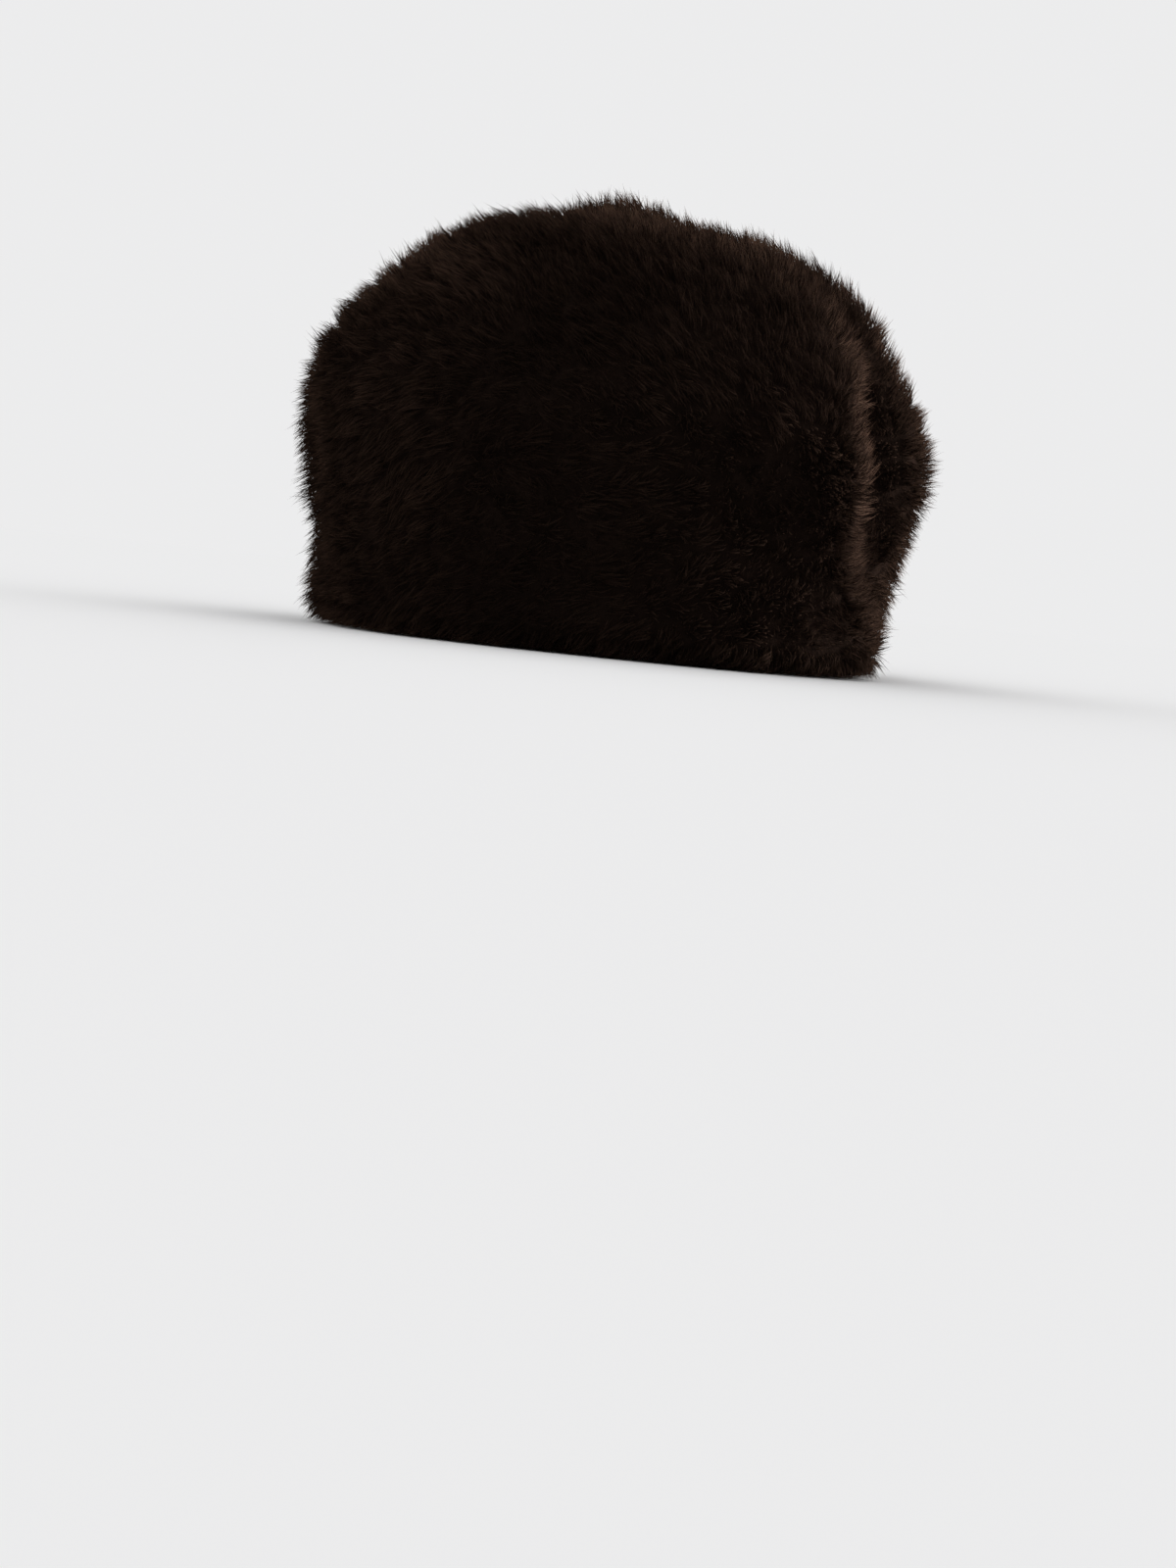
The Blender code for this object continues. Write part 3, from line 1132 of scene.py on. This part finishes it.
@dataclass
class Fur:
    """All the fur of the hat: its two underfur bodies and the hairs on them."""

    hair_finish: HairFinish = HairFinish()
    underfur_finish: UnderfurFinish = UnderfurFinish()
    comb: Comb = Comb()
    pelt: Pelt = Pelt()
    tuft_spacing: float = 0.0029
    locking: Locking = Locking()
    seed: int = 11
    rim_spread: float = 0.75
    underside: float = -0.7
    crown_radius: float = 0.1
    counts: tuple[tuple[Region, Hair, int], ...] = (
        (Region.FRONT, UNDERCOAT, 49000),
        (Region.BACK, UNDERCOAT, 44000),
        (Region.CROWN, UNDERCOAT, 26000),
        (Region.RIM, UNDERCOAT, 16000),
        (Region.FRONT, GUARD_HAIR, 21000),
        (Region.BACK, GUARD_HAIR, 16000),
        (Region.CROWN, GUARD_HAIR, 9000),
        (Region.RIM, GUARD_HAIR, 5000),
    )

    def build(self) -> list[bpy.types.Object]:
        """Builds the underfur and grows the hairs.

        Returns:
            The pieces.
        """
        chance = np.random.default_rng(self.seed)
        noise.seed_set(self.seed)
        hair = self.hair_finish.material()
        underfur = self.underfur_finish.material()
        pelt = self.pelt.build()
        scatter = Scatter(pelt)
        skin = BVHTree.FromPolygons(
            [Vector(place) for place in scatter.places], scatter.corners.tolist()
        )
        bpy.data.objects.remove(pelt)
        pieces = [
            pile.build(scatter, tufts, hair, chance)
            for pile, tufts in self.piles(scatter, chance)
        ]
        for node, name in (("side_band", "band_underfur"), ("crown", "crown_underfur")):
            pieces.append(UnderFur(node, name).build(skin, underfur))
        return pieces

    def piles(
        self, scatter: Scatter, chance: np.random.Generator
    ) -> list[tuple[Pile, Tufts]]:
        """The piles that grow on the pelt, each with its tufts.

        Args:
            scatter: The pelt's places.
            chance: The random generator.

        Returns:
            Pairs of a pile and its tufts.
        """
        regions = self.regions(scatter)
        rim = regions[Region.RIM]
        everywhere = np.ones(len(rim), bool)
        locks = Tufts(scatter, everywhere, self.locking.spacing, self.comb, chance)
        outside = Tufts(scatter, ~rim, self.tuft_spacing, self.comb, chance)
        outside.gather_to(locks, self.locking)
        under = Tufts(scatter, rim, self.tuft_spacing, self.comb, chance)
        piles = []
        for region, kind, count in self.counts:
            rolled = region is Region.RIM
            spread, tufts = (self.rim_spread, under) if rolled else (1.0, outside)
            name = f"{region.value}_{kind.name}"
            piles.append((Pile(name, kind, count, regions[region], spread), tufts))
        return piles

    def regions(self, scatter: Scatter) -> dict[Region, np.ndarray]:
        """A mask of the pelt's triangles for each region.

        Args:
            scatter: The pelt's places.

        Returns:
            The masks, which share no triangle.
        """
        middle, facing = scatter.middle, scatter.facing
        inward = (middle[:, :2] * facing[:, :2]).sum(axis=1) < 0
        rim = (middle[:, 2] < FACING_TOP) & (inward | (facing[:, 2] < self.underside))
        from_axis = np.linalg.norm(middle[:, :2], axis=1)
        crown = (middle[:, 2] > CROWN_LEVEL) & (from_axis < self.crown_radius)
        front = middle[:, 1] < 0
        wall = ~rim & ~crown
        return {
            Region.FRONT: wall & front,
            Region.BACK: wall & ~front,
            Region.CROWN: crown,
            Region.RIM: rim,
        }


@dataclass
class Lining:
    """The woven cloth cup inside the hat."""

    node: str = "lining"
    name: str = "lining_cup"
    slot: str = "lining_cloth"
    finish: LiningFinish = LiningFinish()
    girth: float = 0.09
    disc_slope: float = 0.75

    def build(self) -> list[bpy.types.Object]:
        """Builds the lining.

        Returns:
            The piece, in a list.
        """
        cup = copy_of_node(self.node, self.name)
        apply_modifier(cup, "SUBSURF", levels=1, render_levels=1)
        self.lay_flat(cup)
        cup.data.materials.append(self.finish.material())
        cup.data.shade_smooth()
        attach(cup, BODY)
        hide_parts(self.node)
        return [cup]

    def lay_flat(self, cup: bpy.types.Object) -> None:
        """Gives the cup its cloth's map in metres: a strip round the wall and a disc on top.

        Args:
            cup: The cup.
        """
        layer = cup.data.uv_layers.new(name=CLOTH_MAP)
        for face in cup.data.polygons:
            middle = math.atan2(face.center.y, face.center.x)
            for loop in face.loop_indices:
                place = cup.data.vertices[cup.data.loops[loop].vertex_index].co
                if abs(face.normal.z) > self.disc_slope:
                    layer.uv[loop].vector = (place.x, place.y)
                    continue
                turn = math.atan2(place.y, place.x) - middle
                turn = (turn + math.pi) % math.tau - math.pi
                layer.uv[loop].vector = (self.girth * (middle + turn), place.z)


@dataclass(frozen=True)
class Lamp:
    """A wide soft sun, and whether it falls on the floor as well as on the hat."""

    name: str
    way: tuple[float, float, float]
    width_degrees: float
    power: float
    on_floor: bool = False


LAMPS = (
    Lamp("left_light", (1.0, -0.55, 0.25), 36.0, 6.6),
    Lamp("right_light", (-1.0, -0.30, -0.10), 36.0, 20.0),
    Lamp("top_light", (0.5, -1.7, -1.0), 40.0, 4.5),
    Lamp("floor_light", (0.0, 0.0, -1.0), 90.0, 0.12, on_floor=True),
)


@dataclass
class Studio:
    """The floor, the lights and the camera."""

    floor_size: float = 60.0
    floor_finish: FloorFinish = FloorFinish()
    backdrop: Colour = (0.84, 0.84, 0.845, 1.0)
    image: tuple[int, int] = (1200, 1600)
    hat_centre_pixel: tuple[float, float] = (631.0, 436.0)
    focal_pixels: float = 2435.0
    sensor: float = 36.0
    clip: tuple[float, float] = (0.05, 100.0)
    distance: float = 1.15
    camera_height: float = 0.03
    roll_degrees: float = 6.0

    def __post_init__(self) -> None:
        """Starts the list of what the side lights fall on."""
        self.lit = bpy.data.collections.new("lit_pieces")

    def light(self, piece: bpy.types.Object) -> None:
        """Lets the side lights fall on a piece."""
        self.lit.objects.link(piece)

    def build(self) -> None:
        """Builds the floor, the world, the lamps and the camera."""
        self.build_floor()
        self.build_world()
        self.build_lamps()
        self.build_camera()

    def build_floor(self) -> None:
        """A large pale floor."""
        deselect_all()
        bpy.ops.mesh.primitive_plane_add(size=self.floor_size)
        floor = bpy.context.active_object
        floor.name = "studio_floor"
        floor.data.materials.append(self.floor_finish.material())
        floor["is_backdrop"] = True

    def build_world(self) -> None:
        """An even pale surround."""
        world = bpy.data.worlds.new("studio")
        bpy.context.scene.world = world
        world.use_nodes = True
        background = world.node_tree.nodes["Background"]
        background.inputs["Color"].default_value = self.backdrop
        background.inputs["Strength"].default_value = 1.0
        bpy.context.scene.view_settings.view_transform = "Standard"

    def build_lamps(self) -> None:
        """Lights from both sides behind the hat and from above it, and one on the floor."""
        for lamp in LAMPS:
            sun = bpy.data.lights.new(lamp.name, "SUN")
            sun.angle = math.radians(lamp.width_degrees)
            sun.energy = lamp.power
            holder = bpy.data.objects.new(lamp.name, sun)
            holder.rotation_euler = Vector(lamp.way).to_track_quat("-Z", "Y").to_euler()
            bpy.context.scene.collection.objects.link(holder)
            if not lamp.on_floor:
                holder.light_linking.receiver_collection = self.lit

    def build_camera(self) -> None:
        """A camera at the photograph's angle, low over the floor, rolled as the photograph is."""
        camera = bpy.data.cameras.new("camera")
        camera.lens = self.focal_pixels * self.sensor / max(self.image)
        camera.sensor_width = self.sensor
        camera.clip_start, camera.clip_end = self.clip
        holder = bpy.data.objects.new("camera", camera)
        bpy.context.scene.collection.objects.link(holder)
        low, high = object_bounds()
        hat = (low + high) / 2
        across = math.sqrt(self.distance**2 - (hat.z - self.camera_height) ** 2)
        eye = Vector((hat.x, hat.y - across, self.camera_height))
        along = (hat - eye).normalized()
        width, height = self.image
        column, row = self.hat_centre_pixel
        pixel = Vector((column - width / 2, height / 2 - row, -self.focal_pixels)).normalized()
        turn = upright_basis(along, Vector((0.0, 0.0, 1.0)))
        turn = turn @ Matrix.Rotation(math.radians(self.roll_degrees), 3, "Z")
        turn = turn @ upright_basis(pixel, Vector((0.0, 1.0, 0.0))).transposed()
        holder.matrix_world = Matrix.Translation(eye) @ turn.to_4x4()
        bpy.context.scene.camera = holder


def upright_basis(along: Vector, up: Vector) -> Matrix:
    """The basis of a view: across, up and along, as a matrix's columns."""
    across = along.cross(up).normalized()
    return Matrix((across, across.cross(along), along)).transposed()


def main() -> None:
    """Builds the studio and the hat, and reports each piece."""
    logging.basicConfig(level=logging.INFO, format="%(message)s")
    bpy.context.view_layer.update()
    studio = Studio()
    studio.build()
    total = 0
    for maker in (Fur(), Lining()):
        for piece in maker.build():
            studio.light(piece)
            triangles = triangle_count(piece)
            total += triangles
            LOG.info("%s: %d triangles", piece.name, triangles)
    LOG.info("In all: %d triangles", total)


if __name__ == "__main__":
    main()
